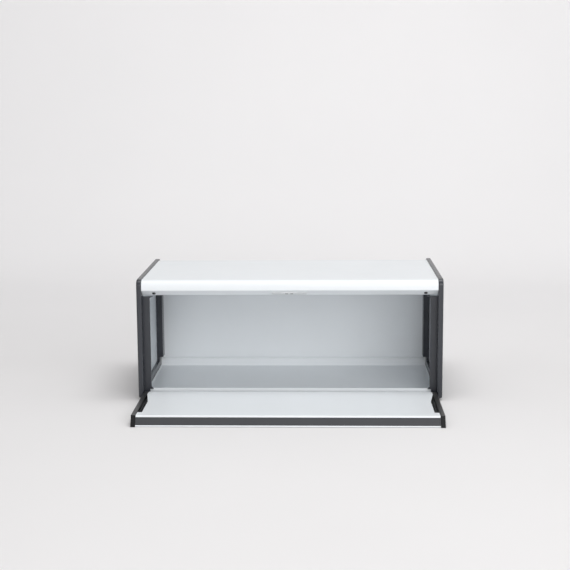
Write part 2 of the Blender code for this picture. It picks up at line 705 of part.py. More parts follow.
def make_door_cap(material):
    """Right end cap of the door: side wall, channel floor, rib, hinge bore and screw seat."""
    start_angle = math.asin((DOOR_TOP - DOOR_NOSE_DROP) / HINGE_FACE_DROP)
    outline = [door_end_point(0), door_end_point(DOOR_THICKNESS)]
    outline += door_nose_points()
    outline += hinge_arc_points(start_angle)[1:]
    cap = new_object("door_cap_right", side_plate_mesh("door_cap_right", outline, CAP_INNER, DOOR_HALF),
                     PARTS, material)
    floor_top = DOOR_TOP - CHANNEL_DEPTH
    tuck = CHANNEL_HALF - CHANNEL_TUCK
    root = CAP_INNER + CUT_OVERRUN
    shelf = box_mesh("shelf_form", (tuck, -CHANNEL_END, floor_top - CHANNEL_FLOOR),
                     (root, -CHANNEL_START, floor_top))
    combine(cap, cutter_object("shelf_form", shelf), "UNION")
    rib_x = CAP_INNER - RIB_OFFSET
    rib = box_mesh("rib_form", (rib_x - RIB_THICKNESS, -CHANNEL_END, floor_top - CHANNEL_FLOOR / 2),
                   (rib_x, -CHANNEL_FULL, DOOR_TOP - RIB_DROP))
    combine(cap, cutter_object("rib_form", rib), "UNION")
    along_x = Matrix.Rotation(RIGHT_ANGLE, 4, "Y")
    bore = rod_mesh("cap_bore_cut", PIN_RADIUS + RUNNING_GAP, (DOOR_HALF - PIN_ENGAGEMENT - FIT_GAP, 0, 0),
                    PIN_ENGAGEMENT + FIT_GAP + CUT_OVERRUN, along_x)
    combine(cap, cutter_object("cap_bore_cut", bore), "DIFFERENCE")
    screw_y, screw_z = door_screw_place()
    head_x = DOOR_HALF - SCREW_HEAD_HEIGHT - FIT_GAP
    seat = rod_mesh("cap_seat_cut", SCREW_HEAD_RADIUS + FIT_GAP, (head_x - FIT_GAP, screw_y, screw_z),
                    SCREW_HEAD_HEIGHT + CUT_OVERRUN, along_x)
    combine(cap, cutter_object("cap_seat_cut", seat), "DIFFERENCE")
    hole = rod_mesh("cap_hole_cut", SCREW_SHANK_RADIUS + FIT_GAP, (CAP_INNER - CUT_OVERRUN, screw_y, screw_z),
                    DOOR_CAP_WIDTH, along_x)
    combine(cap, cutter_object("cap_hole_cut", hole), "DIFFERENCE")
    return cap


def door_screw_place():
    """Place of the door screws in hinge axes: the middle of the grip strip's section."""
    return door_end_point(DOOR_THICKNESS / 2, GRIP_DEPTH / 2)


def make_grip_strip(material):
    """Grip profile along the free edge, tucked behind the skin's lip and the panel's fold."""
    tuck = (SHEET + FIT_GAP) / math.cos(STRIP_ANGLE)
    low = SKIN_LIP + FIT_GAP
    high = DOOR_THICKNESS - PANEL_END_FOLD - FIT_GAP - SHEET * math.sin(STRIP_ANGLE)
    bottom = SHEET + FIT_GAP
    top = DOOR_THICKNESS - SHEET - FIT_GAP
    outline = [door_end_point(low), door_end_point(high), door_end_point(high, tuck),
               door_end_point(top, tuck), door_end_point(top, GRIP_DEPTH), door_end_point(bottom, GRIP_DEPTH),
               door_end_point(bottom, tuck * 2), door_end_point(low, tuck * 2)]
    half = CAP_INNER - FIT_GAP
    strip_mesh = side_plate_mesh("door_grip_strip", outline, -half, half)
    strip = new_object("door_grip_strip", strip_mesh, PARTS, material)
    along_x = Matrix.Rotation(RIGHT_ANGLE, 4, "Y")
    screw_y, screw_z = door_screw_place()
    for side, sign in SIDES:
        end = sign * half
        low_x = min(end - sign * SCREW_SHANK_LENGTH, end + sign * CUT_OVERRUN)
        hole = rod_mesh("grip_hole_cut", SCREW_SHANK_RADIUS + FIT_GAP, (low_x, screw_y, screw_z),
                        SCREW_SHANK_LENGTH + CUT_OVERRUN, along_x)
        combine(strip, cutter_object(f"grip_hole_cut_{side}", hole), "DIFFERENCE")
    return strip


def make_door_screws(material):
    """Screws from the outside of each end cap into the grip strip."""
    screw_y, screw_z = door_screw_place()
    screws = []
    for side, sign in SIDES:
        screw = make_screw(f"door_screw_{side}", material)
        screw.location = (sign * (DOOR_HALF - SCREW_HEAD_HEIGHT - FIT_GAP), screw_y, screw_z)
        screw.rotation_euler = (0, sign * RIGHT_ANGLE, 0)
        screws.append(screw)
    return screws


def make_box():
    """Everything that stays still."""
    white = new_material("powder_coated_white", (0.82, 0.83, 0.85), 0.35, 0)
    grey = new_material("dark_moulded_plastic", (0.055, 0.057, 0.065), 0.45, 0)
    liner_white = new_material("liner_light_grey", (0.60, 0.62, 0.65), 0.4, 0)
    rubber = new_material("black_rubber", (0.02, 0.02, 0.02), 0.8, 0)
    steel = new_material("bright_steel", (0.55, 0.55, 0.56), 0.3, 1)
    nylon = new_material("black_nylon", (0.045, 0.045, 0.048), 0.5, 0)
    holder_white = new_material("white_plastic", (0.80, 0.81, 0.82), 0.4, 0)
    make_casing(white)
    make_floor_pan(white)
    panel = make_side_panel(grey)
    liner = make_liner(liner_white)
    pin, bush = make_hinge_pieces(steel, nylon)
    for right in (panel, liner, pin, bush):
        mirrored_object(right, right.name.replace("_right", "_left"), PARTS)
    make_feet(rubber)
    make_catch(holder_white, steel)
    make_lip_bumpers(rubber)
    make_back_screws(steel)
    return white, grey, steel


def make_door(white, grey, steel):
    """Everything that swings, modelled about the hinge axis and hung from an empty on it."""
    axis = bpy.data.objects.new("door_hinge", None)
    axis.location = (0, HINGE_Y, HINGE_HEIGHT)
    PARTS.objects.link(axis)
    already = set(bpy.data.objects)
    make_door_skin(white)
    make_door_inner_panel(white)
    cap = make_door_cap(grey)
    mirrored_object(cap, "door_cap_left", PARTS)
    make_grip_strip(grey)
    make_door_screws(steel)
    for made in set(bpy.data.objects) - already:
        if made.parent is None:
            made.parent = axis


clear_scene()
PARTS = new_collection("bread_box")
CUTTERS = new_collection("bread_box_cutters")
materials = make_box()
make_door(*materials)
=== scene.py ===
"""Studio scene of a fall-front bread box: finishes for its parts, a pale stage and a camera."""
import math

import bpy
from mathutils import Matrix, Vector


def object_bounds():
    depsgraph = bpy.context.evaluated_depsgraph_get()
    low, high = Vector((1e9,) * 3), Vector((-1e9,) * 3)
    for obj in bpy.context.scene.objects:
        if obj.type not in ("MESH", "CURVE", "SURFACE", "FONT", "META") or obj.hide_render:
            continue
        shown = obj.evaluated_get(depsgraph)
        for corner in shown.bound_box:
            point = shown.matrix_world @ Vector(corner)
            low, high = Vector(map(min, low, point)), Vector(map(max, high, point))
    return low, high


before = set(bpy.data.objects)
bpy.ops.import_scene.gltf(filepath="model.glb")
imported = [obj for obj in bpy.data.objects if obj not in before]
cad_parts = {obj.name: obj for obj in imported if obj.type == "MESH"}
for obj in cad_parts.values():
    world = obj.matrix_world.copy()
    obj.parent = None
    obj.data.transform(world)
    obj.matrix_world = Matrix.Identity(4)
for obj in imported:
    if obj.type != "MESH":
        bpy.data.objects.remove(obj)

CAD_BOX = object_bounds()

bl_info = {
    "name": "Bread Box Scene",
    "version": (1, 0, 0),
    "blender": (4, 5, 0),
    "location": "View3D > Sidebar > Bread Box",
    "description": "Dresses a fall-front bread box with its finishes, on a pale stage",
    "category": "Object",
}

TAB_NAME = "Bread Box"
SIDES = ("left", "right")
SMOOTH_ANGLE = math.radians(32)
EDGE_ANGLE = math.radians(40)
WELD_DISTANCE = 0.000002

# Finishes: roughness, shares and shades of the materials
LINER_ROUGHNESS = 0.42
SIDE_ROUGHNESS = 0.25
GRIP_ROUGHNESS = 0.34
CAP_ROUGHNESS = 0.32
RUBBER_ROUGHNESS = 0.74
BUSH_ROUGHNESS = 0.5
HOLDER_ROUGHNESS = 0.36
STEEL_ROUGHNESS = 0.30
MAGNET_ROUGHNESS = 0.36
MAGNET_SHADE = 0.55
# The coat's paler edges are a painted highlight: the edge colour is lifted to stand for light caught on the
# edges.
COAT_EDGE_HIGHLIGHT = 1.1
COAT_HIGHLIGHT_MAX = 0.98
# The plastics' lighter edges are partly wear and partly a painted highlight.
PLASTIC_EDGE_HIGHLIGHT = 2.0
PLASTIC_EDGE_HIGHLIGHT_BASE = 0.02
DUST_COLOUR = (0.55, 0.54, 0.52, 1)
DULLED_STEEL = (0.80, 0.79, 0.77, 1)
DRAWN_LINE_DEPTH = 0.000004
STEEL_STRETCH = (200.0, 6000.0, 6000.0)
MAGNET_STRETCH = (5000.0, 400.0, 5000.0)

# Stage: what the camera sees behind the box, and the curve from floor to backdrop
BACKGROUND_LEVEL = 0.80
GLOW_START_Y = 0.2
GLOW_FULL_Y = 1.3
GLOW_COLOUR = (0.97, 0.97, 1.0, 1)
MOTTLE_SHADE = 0.985
CURVE_STEPS = 24

# Lamps: width and height, and place, in metres; all of them face one point in the box
LAMP_TARGET = (0, 0, 0.1)
TOP_LAMP_SIZE = (1.8, 1.0)
TOP_LAMP_PLACE = (0.2, -0.25, 2.2)
KEY_LAMP_SIZE = (2.2, 0.7)
KEY_LAMP_PLACE = (0.9, -2.2, 1.1)
FILL_LAMP_SIZE = (3.4, 0.7)
FILL_LAMP_PLACE = (0.5, -3.4, 0.56)

# Camera: angles in radians and places in metres, fitted to the photograph's view
SENSOR_WIDTH = 36.0
CAMERA_SHIFT_X = 0.0374
CAMERA_SHIFT_Y = -0.0005
CAMERA_CLIP_END = 30.0
CAMERA_YAW = 0.0452
CAMERA_PITCH = 0.1586
CAMERA_ROLL = -0.009412
CAMERA_X = 0.04709
CAMERA_DISTANCE = 1.887
CAMERA_HEIGHT = 0.4821
BOX_DEPTH = 0.245


class BreadBoxFinishes(bpy.types.PropertyGroup):
    """Colours and surface sizes of the bread box."""

    coat_colour: bpy.props.FloatVectorProperty(
        name="Coat colour", description="White powder coat of the sheets",
        default=(0.846, 0.877, 0.902), subtype="COLOR", min=0, max=1)
    coat_roughness: bpy.props.FloatProperty(
        name="Coat roughness", description="Roughness of the powder coat", default=0.34, min=0, max=1)
    coat_peel: bpy.props.FloatProperty(
        name="Coat peel", description="Depth of the coat's orange peel", default=0.000035,
        unit="LENGTH", precision=6, min=0)
    # The liner's light grey, darker than the white coat, is partly painted shade of the side pockets.
    liner_colour_and_shade: bpy.props.FloatVectorProperty(
        name="Liner colour", description="Light grey sheet in the sides", default=(0.75, 0.785, 0.82),
        subtype="COLOR", min=0, max=1)
    plastic_colour: bpy.props.FloatVectorProperty(
        name="Side colour", description="Dark moulded plastic of the sides", default=(0.036, 0.039, 0.048),
        subtype="COLOR", min=0, max=1)
    grip_colour: bpy.props.FloatVectorProperty(
        name="Grip colour", description="Grip strip of the door", default=(0.056, 0.058, 0.063),
        subtype="COLOR", min=0, max=1)
    cap_colour: bpy.props.FloatVectorProperty(
        name="Cap colour", description="Dark end caps of the door", default=(0.010, 0.010, 0.011),
        subtype="COLOR", min=0, max=1)
    grain_depth: bpy.props.FloatProperty(
        name="Grain depth", description="Depth of the moulded grain", default=0.000007,
        unit="LENGTH", precision=6, min=0)
    rubber_colour: bpy.props.FloatVectorProperty(
        name="Rubber colour", description="Feet and bumpers", default=(0.018, 0.018, 0.019),
        subtype="COLOR", min=0, max=1)
    steel_colour: bpy.props.FloatVectorProperty(
        name="Steel colour", description="Plated pins, screws and magnets", default=(0.58, 0.575, 0.56),
        subtype="COLOR", min=0, max=1)
    nylon_colour: bpy.props.FloatVectorProperty(
        name="Bush colour", description="Hinge bushes", default=(0.045, 0.045, 0.048),
        subtype="COLOR", min=0, max=1)
    holder_colour: bpy.props.FloatVectorProperty(
        name="Holder colour", description="Moulded holder of the catch", default=(0.72, 0.735, 0.75),
        subtype="COLOR", min=0, max=1)
    edge_round: bpy.props.FloatProperty(
        name="Edge round", description="Small round on the sharp edges of the parts", default=0.00025,
        unit="LENGTH", precision=5, min=0)


class BreadBoxStage(bpy.types.PropertyGroup):
    """Sizes and lights of the stage."""

    floor_size: bpy.props.FloatProperty(
        name="Floor size", description="Half the width of the floor", default=4.0, unit="LENGTH", min=0)
    wall_distance: bpy.props.FloatProperty(
        name="Wall distance", description="From the box to the backdrop", default=1.6, unit="LENGTH", min=0)
    floor_colour: bpy.props.FloatVectorProperty(
        name="Floor colour", description="Pale floor and backdrop", default=(0.852, 0.840, 0.842),
        subtype="COLOR", min=0, max=1)
    backdrop_glow: bpy.props.FloatProperty(
        name="Backdrop glow", description="Light that only the camera sees on the backdrop",
        default=0.15, min=0)
    sky_strength: bpy.props.FloatProperty(
        name="Surrounding light", description="Light from all around", default=0.35, min=0)
    top_power: bpy.props.FloatProperty(
        name="Top light", description="Large soft light overhead", default=25, unit="POWER", min=0)
    key_power: bpy.props.FloatProperty(
        name="Key light", description="Wide soft light in front, to the right", default=17,
        unit="POWER", min=0)
    fill_power: bpy.props.FloatProperty(
        name="Fill light", description="Soft light from low in front", default=26, unit="POWER", min=0)
    lens: bpy.props.FloatProperty(
        name="Lens", description="Focal length on a 36 mm sensor", default=79.96, unit="CAMERA", min=1)


def finishes():
    """The finish values of the open scene."""
    return bpy.context.scene.bread_box_finishes


def cad_nodes(*names):
    """CAD nodes by name; a missing one is an error."""
    missing = [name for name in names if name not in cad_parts]
    if missing:
        raise RuntimeError(f"the frame has no node named {', '.join(missing)}")
    return [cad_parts[name] for name in names]


def both_sides(stem):
    """The left and right names of a piece."""
    return [f"{stem}_{side}" for side in SIDES]


# Small helpers for shader nodes

def add_node(tree, kind, x, y, **values):
    """Add a shader node, set its properties, and place it."""
    node = tree.nodes.new(kind)
    node.location = (x, y)
    for name, value in values.items():
        setattr(node, name, value)
    return node


def join(tree, source, target):
    """Link an output to an input."""
    tree.links.new(source, target)


def new_group(name, inputs, outputs):
    """Start a shader node group with named sockets; an input is (name, type, default)."""
    tree = bpy.data.node_groups.new(name, "ShaderNodeTree")
    for title, kind, default in inputs:
        socket = tree.interface.new_socket(title, in_out="INPUT", socket_type=kind)
        if default is not None:
            socket.default_value = default
    for title, kind in outputs:
        tree.interface.new_socket(title, in_out="OUTPUT", socket_type=kind)
    start = add_node(tree, "NodeGroupInput", -900, 0)
    end = add_node(tree, "NodeGroupOutput", 900, 0)
    return tree, start, end


def place_group(tree, name, x, y, **values):
    """Put a node group in a material and set its input values."""
    node = add_node(tree, "ShaderNodeGroup", x, y, node_tree=bpy.data.node_groups[name])
    for title, value in values.items():
        node.inputs[title.replace("_", " ")].default_value = value
    return node


def noise(tree, vector, x, y, scale, detail=2.0, roughness=0.5):
    """Noise texture on a vector."""
    node = add_node(tree, "ShaderNodeTexNoise", x, y)
    node.inputs["Detail"].default_value = detail
    node.inputs["Roughness"].default_value = roughness
    join(tree, vector, node.inputs["Vector"])
    if isinstance(scale, (int, float)):
        node.inputs["Scale"].default_value = scale
    else:
        join(tree, scale, node.inputs["Scale"])
    return node


def ramp(tree, value, x, y, low, high, to_low=0.0, to_high=1.0):
    """Map a value from one range onto another, kept inside it."""
    node = add_node(tree, "ShaderNodeMapRange", x, y)
    node.inputs["From Min"].default_value = low
    node.inputs["From Max"].default_value = high
    node.inputs["To Min"].default_value = to_low
    node.inputs["To Max"].default_value = to_high
    join(tree, value, node.inputs["Value"])
    return node


def maths(tree, operation, x, y, first, second=None):
    """Math node on sockets or numbers."""
    node = add_node(tree, "ShaderNodeMath", x, y, operation=operation)
    for socket, value in zip(node.inputs, (first, second)):
        if value is None:
            continue
        if isinstance(value, (int, float)):
            socket.default_value = value
        else:
            join(tree, value, socket)
    return node


def mix_colour(tree, x, y, factor, first, second, blend="MIX"):
    """Mix two colours, given as sockets or as values."""
    node = add_node(tree, "ShaderNodeMix", x, y, data_type="RGBA", blend_type=blend)
    pairs = ((node.inputs["Factor"], factor), (node.inputs[6], first), (node.inputs[7], second))
    for socket, value in pairs:
        if isinstance(value, bpy.types.NodeSocket):
            join(tree, value, socket)
        else:
            socket.default_value = value
    return node.outputs[2]


def build_orange_peel():
    """Powder coat skin: rolling orange peel with fine specks, and a slight drift in tone."""
    tree, start, end = new_group(
        "Powder Coat Skin",
        [("Colour", "NodeSocketColor", (0.8, 0.8, 0.8, 1)), ("Peel Scale", "NodeSocketFloat", 650.0),
         ("Tone Drift", "NodeSocketFloat", 0.03)],
        [("Colour", "NodeSocketColor"), ("Height", "NodeSocketFloat"),
         ("Roughness Drift", "NodeSocketFloat")])
    place = add_node(tree, "ShaderNodeTexCoord", -900, -300)
    here = place.outputs["Object"]
    peel = noise(tree, here, -600, 200, start.outputs["Peel Scale"], 1.5, 0.45)
    fine_scale = maths(tree, "MULTIPLY", -800, -100, start.outputs["Peel Scale"], 4.3)
    fine = noise(tree, here, -600, -60, fine_scale.outputs[0], 1.0, 0.5)
    fine_share = maths(tree, "MULTIPLY", -400, -60, fine.outputs["Fac"], 0.18)
    height = maths(tree, "ADD", -200, 100, peel.outputs["Fac"], fine_share.outputs[0])
    drift = noise(tree, here, -600, -320, 9.0, 3.0, 0.55)
    drift_range = ramp(tree, drift.outputs["Fac"], -400, -320, 0.3, 0.7, -1.0, 1.0)
    drift_size = maths(tree, "MULTIPLY", -200, -320, drift_range.outputs[0], start.outputs["Tone Drift"])
    gain = maths(tree, "ADD", 0, -320, drift_size.outputs[0], 1.0)
    grey = add_node(tree, "ShaderNodeCombineColor", 200, -320)
    for socket in grey.inputs:
        join(tree, gain.outputs[0], socket)
    colour = mix_colour(tree, 400, -100, 1.0, start.outputs["Colour"], grey.outputs[0], "MULTIPLY")
    smear = noise(tree, here, -600, -560, 34.0, 4.0, 0.6)
    smear_range = ramp(tree, smear.outputs["Fac"], -400, -560, 0.35, 0.75, -0.03, 0.07)
    join(tree, colour, end.inputs["Colour"])
    join(tree, height.outputs[0], end.inputs["Height"])
    join(tree, smear_range.outputs[0], end.inputs["Roughness Drift"])


def build_moulded_grain():
    """Spark-eroded grain of moulded plastic with a slight drift in tone and sheen."""
    tree, start, end = new_group(
        "Moulded Grain",
        [("Colour", "NodeSocketColor", (0.05, 0.05, 0.05, 1)), ("Grain Scale", "NodeSocketFloat", 1500.0)],
        [("Colour", "NodeSocketColor"), ("Height", "NodeSocketFloat"),
         ("Roughness Drift", "NodeSocketFloat")])
    place = add_node(tree, "ShaderNodeTexCoord", -900, -300)
    here = place.outputs["Object"]
    cells = add_node(tree, "ShaderNodeTexVoronoi", -600, 220, feature="SMOOTH_F1")
    join(tree, here, cells.inputs["Vector"])
    join(tree, start.outputs["Grain Scale"], cells.inputs["Scale"])
    pits = noise(tree, here, -600, -60, start.outputs["Grain Scale"], 3.0, 0.6)
    height = maths(tree, "ADD", -300, 100, cells.outputs["Distance"], pits.outputs["Fac"])
    shade = ramp(tree, height.outputs[0], -100, -100, 0.5, 1.4, 0.93, 1.07)
    drift = noise(tree, here, -600, -320, 22.0, 3.0, 0.5)
    drift_range = ramp(tree, drift.outputs["Fac"], -400, -320, 0.3, 0.7, 0.98, 1.02)
    both = maths(tree, "MULTIPLY", 100, -200, shade.outputs[0], drift_range.outputs[0])
    grey = add_node(tree, "ShaderNodeCombineColor", 260, -320)
    for socket in grey.inputs:
        join(tree, both.outputs[0], socket)
    colour = mix_colour(tree, 460, -100, 1.0, start.outputs["Colour"], grey.outputs[0], "MULTIPLY")
    sheen = noise(tree, here, -600, -560, 60.0, 4.0, 0.6)
    sheen_range = ramp(tree, sheen.outputs["Fac"], -400, -560, 0.3, 0.75, -0.015, 0.02)
    join(tree, colour, end.inputs["Colour"])
    join(tree, height.outputs[0], end.inputs["Height"])
    join(tree, sheen_range.outputs[0], end.inputs["Roughness Drift"])


def build_edge_wear_and_highlight():
    """Mask that is strong on corners and broken up by noise; the edges it picks out are made lighter: a
    painted highlight on the coat, partly wear and partly a painted highlight on the plastics, wear on the
    steel.
    """
    tree, start, end = new_group(
        "Edge Wear And Highlight",
        [("Reach", "NodeSocketFloat", 0.0006), ("Amount", "NodeSocketFloat", 0.5)],
        [("Mask", "NodeSocketFloat")])
    form = add_node(tree, "ShaderNodeNewGeometry", -700, 200)
    soft = add_node(tree, "ShaderNodeBevel", -700, -60, samples=6)
    join(tree, start.outputs["Reach"], soft.inputs["Radius"])
    facing = add_node(tree, "ShaderNodeVectorMath", -450, 100, operation="DOT_PRODUCT")
    join(tree, form.outputs["Normal"], facing.inputs[0])
    join(tree, soft.outputs["Normal"], facing.inputs[1])
    edge = ramp(tree, facing.outputs["Value"], -250, 100, 0.995, 0.85)
    place = add_node(tree, "ShaderNodeTexCoord", -900, -300)
    patches = noise(tree, place.outputs["Object"], -600, -320, 190.0, 4.0, 0.65)
    broken = ramp(tree, patches.outputs["Fac"], -400, -320, 0.38, 0.62)
    # This mask lightens edges: painted highlight on the coat, wear and painted highlight on the plastics,
    # wear on the steel.
    lighter_edges = maths(tree, "MULTIPLY", -50, 0, edge.outputs[0], broken.outputs[0])
    mask = maths(tree, "MULTIPLY", 150, 0, lighter_edges.outputs[0], start.outputs["Amount"])
    join(tree, mask.outputs[0], end.inputs["Mask"])


def build_settled_dust():
    """Mask of fine settled dust on upward faces."""
    tree, start, end = new_group(
        "Settled Dust",
        [("Amount", "NodeSocketFloat", 0.1)],
        [("Mask", "NodeSocketFloat")])
    form = add_node(tree, "ShaderNodeNewGeometry", -700, 200)
    split = add_node(tree, "ShaderNodeSeparateXYZ", -500, 200)
    join(tree, form.outputs["Normal"], split.inputs[0])
    upward = ramp(tree, split.outputs["Z"], -300, 200, 0.55, 1.0)
    place = add_node(tree, "ShaderNodeTexCoord", -900, -200)
    cloud = noise(tree, place.outputs["Object"], -600, -120, 45.0, 6.0, 0.7)
    cloud_range = ramp(tree, cloud.outputs["Fac"], -400, -120, 0.4, 0.8)
    specks = noise(tree, place.outputs["Object"], -600, -380, 2600.0, 1.0, 0.5)
    speck_range = ramp(tree, specks.outputs["Fac"], -400, -380, 0.56, 0.66)
    both = maths(tree, "ADD", -200, -200, cloud_range.outputs[0], speck_range.outputs[0])
    settled = maths(tree, "MULTIPLY", 0, 0, both.outputs[0], upward.outputs[0])
    mask = maths(tree, "MULTIPLY", 200, 0, settled.outputs[0], start.outputs["Amount"])
    join(tree, mask.outputs[0], end.inputs["Mask"])


def build_drawn_lines():
    """Fine lines of drawn or brushed metal along one direction."""
    tree, start, end = new_group(
        "Drawn Lines",
        [("Stretch", "NodeSocketVector", (200.0, 6000.0, 6000.0))],
        [("Height", "NodeSocketFloat"), ("Roughness Drift", "NodeSocketFloat")])
    place = add_node(tree, "ShaderNodeTexCoord", -900, -100)
    drawn = add_node(tree, "ShaderNodeVectorMath", -700, 0, operation="MULTIPLY")
    join(tree, place.outputs["Object"], drawn.inputs[0])
    join(tree, start.outputs["Stretch"], drawn.inputs[1])
    lines = noise(tree, drawn.outputs[0], -450, 0, 1.0, 3.0, 0.6)
    rough = ramp(tree, lines.outputs["Fac"], -200, -150, 0.3, 0.7, -0.08, 0.10)
    join(tree, lines.outputs["Fac"], end.inputs["Height"])
    join(tree, rough.outputs[0], end.inputs["Roughness Drift"])


def build_groups():
    """All the shared effects."""
    build_orange_peel()
    build_moulded_grain()
    build_edge_wear_and_highlight()
    build_settled_dust()
    build_drawn_lines()


def start_material(name):
    """New node material: its tree and its Principled shader."""
    made = bpy.data.materials.new(name)
    made.use_nodes = True
    tree = made.node_tree
    shader = tree.nodes["Principled BSDF"]
    shader.location = (500, 0)
    tree.nodes["Material Output"].location = (800, 0)
    return made, tree, shader


def feed_roughness(tree, shader, base, drift):
    """Roughness is a base value plus a drift over the surface."""
    total = maths(tree, "ADD", 250, -200, drift, base)
    total.use_clamp = True
    join(tree, total.outputs[0], shader.inputs["Roughness"])


def feed_bump(tree, shader, height, depth):
    """Bump node from a height, with its depth in metres."""
    bump = add_node(tree, "ShaderNodeBump", 250, -420)
    bump.inputs["Distance"].default_value = depth
    join(tree, height, bump.inputs["Height"])
    join(tree, bump.outputs["Normal"], shader.inputs["Normal"])


def powder_coat(name, colour, roughness, peel_depth, peel_scale=650.0):
    """Powder-coated sheet: orange peel, soft smears, and paler edges that are a painted highlight."""
    made, tree, shader = start_material(name)
    skin = place_group(tree, "Powder Coat Skin", -400, 100, Colour=(*colour, 1), Peel_Scale=peel_scale,
                       Tone_Drift=0.012)
    edge_mask = place_group(tree, "Edge Wear And Highlight", -400, -200, Reach=0.0006, Amount=0.8)
    # Paler edge colour: a painted highlight on the coat's edges.
    paler = tuple(min(COAT_HIGHLIGHT_MAX, value * COAT_EDGE_HIGHLIGHT) for value in colour)
    lighter_edges = mix_colour(tree, 0, 100, edge_mask.outputs["Mask"], skin.outputs["Colour"], (*paler, 1))
    join(tree, lighter_edges, shader.inputs["Base Color"])
    feed_roughness(tree, shader, roughness, skin.outputs["Roughness Drift"])
    feed_bump(tree, shader, skin.outputs["Height"], peel_depth)
    shader.inputs["Specular IOR Level"].default_value = 0.5
    shader.inputs["Coat Weight"].default_value = 0.12
    shader.inputs["Coat Roughness"].default_value = 0.15
    return made


def moulded_plastic(name, colour, roughness, grain_depth, dust=0.06, grain_scale=1500.0, lighter_edge_share=0.28,
                    specular=0.5):
    """Moulded plastic: grain, lighter corners that are partly wear and partly a painted highlight, and a
    little dust on upward faces.
    """
    made, tree, shader = start_material(name)
    grain = place_group(tree, "Moulded Grain", -400, 200, Colour=(*colour, 1), Grain_Scale=grain_scale)
    edge_mask = place_group(tree, "Edge Wear And Highlight", -400, -60, Reach=0.0007, Amount=lighter_edge_share)
    # Lighter edge colour: partly wear, partly a painted highlight on the plastic's edges.
    lighter = tuple(min(1.0, value * PLASTIC_EDGE_HIGHLIGHT + PLASTIC_EDGE_HIGHLIGHT_BASE) for value in colour)
    lighter_edges = mix_colour(tree, -50, 150, edge_mask.outputs["Mask"], grain.outputs["Colour"], (*lighter, 1))
    settled = place_group(tree, "Settled Dust", -400, -320, Amount=dust)
    dusty = mix_colour(tree, 150, 150, settled.outputs["Mask"], lighter_edges, DUST_COLOUR)
    join(tree, dusty, shader.inputs["Base Color"])
    feed_roughness(tree, shader, roughness, grain.outputs["Roughness Drift"])
    feed_bump(tree, shader, grain.outputs["Height"], grain_depth)
    shader.inputs["Specular IOR Level"].default_value = specular
    return made


def plated_steel(name, colour, roughness, stretch):
    """Plated steel with fine drawn lines and dulled corners."""
    made, tree, shader = start_material(name)
    lines = place_group(tree, "Drawn Lines", -400, 0, Stretch=stretch)
    edge_mask = place_group(tree, "Edge Wear And Highlight", -400, -220, Reach=0.0002, Amount=0.5)
    lighter_edges = mix_colour(tree, 0, 100, edge_mask.outputs["Mask"], (*colour, 1), DULLED_STEEL)
    join(tree, lighter_edges, shader.inputs["Base Color"])
    feed_roughness(tree, shader, roughness, lines.outputs["Roughness Drift"])
    feed_bump(tree, shader, lines.outputs["Height"], DRAWN_LINE_DEPTH)
    shader.inputs["Metallic"].default_value = 1.0
    return made


def material_named(name):
    """A finish made earlier; a missing one is an error."""
    found = bpy.data.materials.get(name)
    if found is None:
        raise RuntimeError(f"make the finishes first: there is no {name}")
    return found


def dress(obj, material, edge_round=0.0, segments=2):
    """Give a CAD node its finish, smooth shading and a small round on its sharp edges."""
    mesh = obj.data
    mesh.materials.clear()
    mesh.materials.append(material)
    weld = obj.modifiers.new("weld", "WELD")
    weld.merge_threshold = WELD_DISTANCE
    if edge_round > 0:
        edge = obj.modifiers.new("edge_round", "BEVEL")
        edge.width = edge_round
        edge.segments = segments
        edge.limit_method = "ANGLE"
        edge.angle_limit = EDGE_ANGLE
        edge.use_clamp_overlap = True
    mesh.shade_smooth()
    mesh.set_sharp_from_angle(angle=SMOOTH_ANGLE)
    flatten = obj.modifiers.new("even_shading", "WEIGHTED_NORMAL")
    flatten.mode = "FACE_AREA"
    flatten.weight = 100
    flatten.keep_sharp = True


class BREADBOX_OT_finishes(bpy.types.Operator):
    """Make the shared effects and the finishes"""

    bl_idname = "bread_box.finishes"
    bl_label = "Finishes"

    def execute(self, context):
        """Build every material from the finish values."""
        values = finishes()
        build_groups()
        white = tuple(values.coat_colour)
        powder_coat("white_powder_coat", white, values.coat_roughness, values.coat_peel)
        # The liner coat's grey is partly painted shade of the side pockets.
        powder_coat("liner_coat_and_shade", tuple(values.liner_colour_and_shade), LINER_ROUGHNESS, values.coat_peel,
                    peel_scale=800.0)
        moulded_plastic("side_plastic", tuple(values.plastic_colour), SIDE_ROUGHNESS, values.grain_depth)
        moulded_plastic("grip_plastic", tuple(values.grip_colour), GRIP_ROUGHNESS, values.grain_depth,
                        dust=0.04)
        moulded_plastic("cap_plastic", tuple(values.cap_colour), CAP_ROUGHNESS, values.grain_depth,
                        dust=0.04, specular=0.38)
        moulded_plastic("foot_rubber", tuple(values.rubber_colour), RUBBER_ROUGHNESS, values.grain_depth,
                        dust=0.10, grain_scale=900.0, lighter_edge_share=0.12)
        moulded_plastic("bush_nylon", tuple(values.nylon_colour), BUSH_ROUGHNESS, values.grain_depth / 2,
                        dust=0.02)
        moulded_plastic("holder_plastic", tuple(values.holder_colour), HOLDER_ROUGHNESS,
                        values.grain_depth / 2, dust=0.0, grain_scale=1200.0, lighter_edge_share=0.1)
        steel = tuple(values.steel_colour)
        plated_steel("plated_steel", steel, STEEL_ROUGHNESS, STEEL_STRETCH)
        magnet = tuple(value * MAGNET_SHADE for value in steel)
        plated_steel("magnet_steel", magnet, MAGNET_ROUGHNESS, MAGNET_STRETCH)
        return {"FINISHED"}


class BREADBOX_OT_casing(bpy.types.Operator):
    """Coat the bent sheet of top, back and front lip"""

    bl_idname = "bread_box.casing"
    bl_label = "Casing"

    def execute(self, context):
        """Dress the casing sheet."""
        for node in cad_nodes("casing_sheet"):
            dress(node, material_named("white_powder_coat"))
        return {"FINISHED"}


